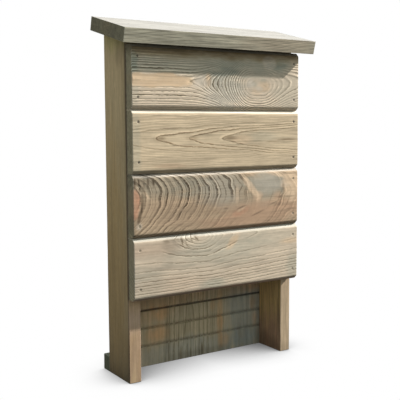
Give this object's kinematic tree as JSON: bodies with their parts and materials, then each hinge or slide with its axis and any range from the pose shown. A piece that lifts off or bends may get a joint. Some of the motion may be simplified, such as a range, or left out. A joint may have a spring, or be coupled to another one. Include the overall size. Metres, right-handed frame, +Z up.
{
  "type": "bat box",
  "caption": "Upright timber bat box: level boards across a narrow chamber with a grooved back panel, open at the foot between legs, under a sloping roof board.",
  "frame": {"origin": "on the floor, under the middle of the whole box", "axes": "+Z up, the front boards face -Y, +X to the right seen from the front"},
  "size_m": [0.354, 0.1282, 0.5566],
  "materials": {
    "front_timber": "weathered pressure-treated softwood, tan to grey-green",
    "side_timber": "weathered pressure-treated softwood, olive brown",
    "roof_timber": "sun-bleached softwood, pale cream grey",
    "panel_timber": "rough sawn softwood panel, grey-green with brown streaks",
    "batten_timber": "damp weathered softwood, dark green-grey",
    "nail_steel": "dull galvanized steel"
  },
  "bodies": {
    "root": {"left_side": "side_timber", "right_side": "side_timber", "roof_board": "roof_timber", "back_panel": "panel_timber", "wall_batten": "batten_timber", "front_board_1": "front_timber", "front_board_2": "front_timber", "front_board_3": "front_timber", "front_board_4": "front_timber", "board_1_left_nails": "nail_steel", "board_1_right_nails": "nail_steel", "board_2_left_nails": "nail_steel", "board_2_right_nails": "nail_steel", "board_3_left_nails": "nail_steel", "board_3_right_nails": "nail_steel", "board_4_left_nails": "nail_steel", "board_4_right_nails": "nail_steel", "roof_left_nails": "nail_steel", "roof_right_nails": "nail_steel", "panel_left_nails": "nail_steel", "panel_right_nails": "nail_steel", "batten_left_nails": "nail_steel", "batten_right_nails": "nail_steel"}
  },
  "joints": []
}
